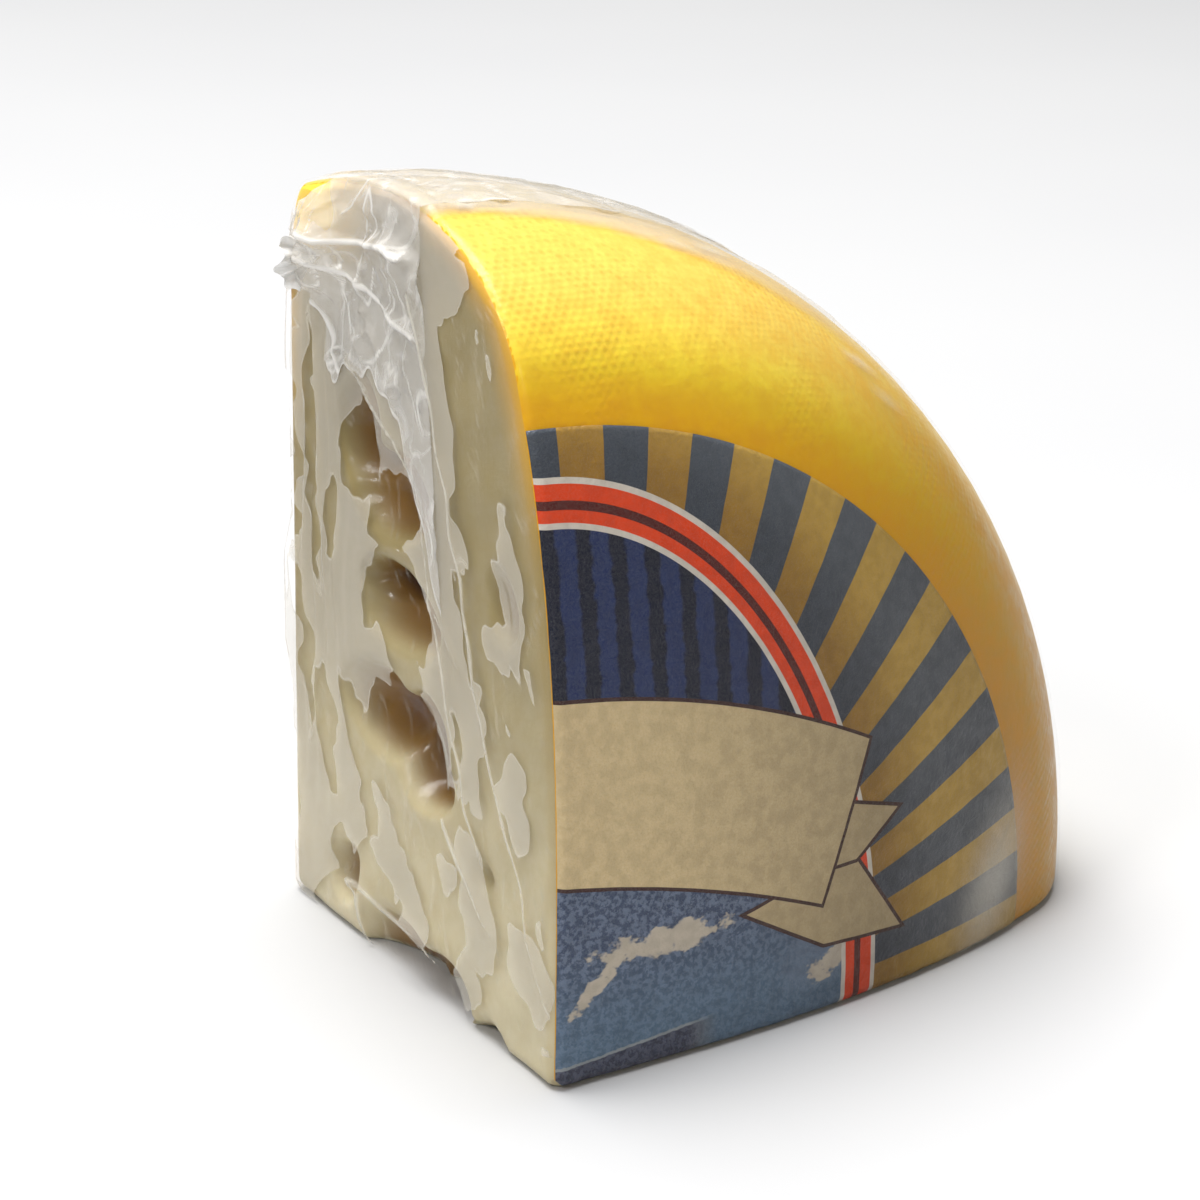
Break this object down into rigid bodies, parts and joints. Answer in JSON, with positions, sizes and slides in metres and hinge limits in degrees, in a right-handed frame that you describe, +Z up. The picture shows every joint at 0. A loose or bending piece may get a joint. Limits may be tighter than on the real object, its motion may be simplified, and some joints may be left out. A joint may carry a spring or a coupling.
{
  "type": "cheese wedge",
  "caption": "Quarter of a holed Dutch cheese wheel standing on a cut face, with a round paper label on its domed rind, in cling film gathered at the top.",
  "frame": {"origin": "middle of the underside of the whole object's box; the lower cut face rests on z = 0", "axes": "+Z up; the wheel's axis lies along Y, with the labelled domed side towards -Y and the flat side towards +Y; the upright cut face looks to -X"},
  "size_m": [0.1964, 0.1272, 0.1885],
  "materials": {
    "cheese": "cream paste with a yellow, slightly waxy rind, faintly shiny",
    "label": "printed foil-backed paper, crinkled, satin",
    "film": "clear cling film, glossy, milky where it is folded"
  },
  "bodies": {
    "root": {"cheese": "cheese", "label": "label", "film": "film"}
  },
  "joints": []
}
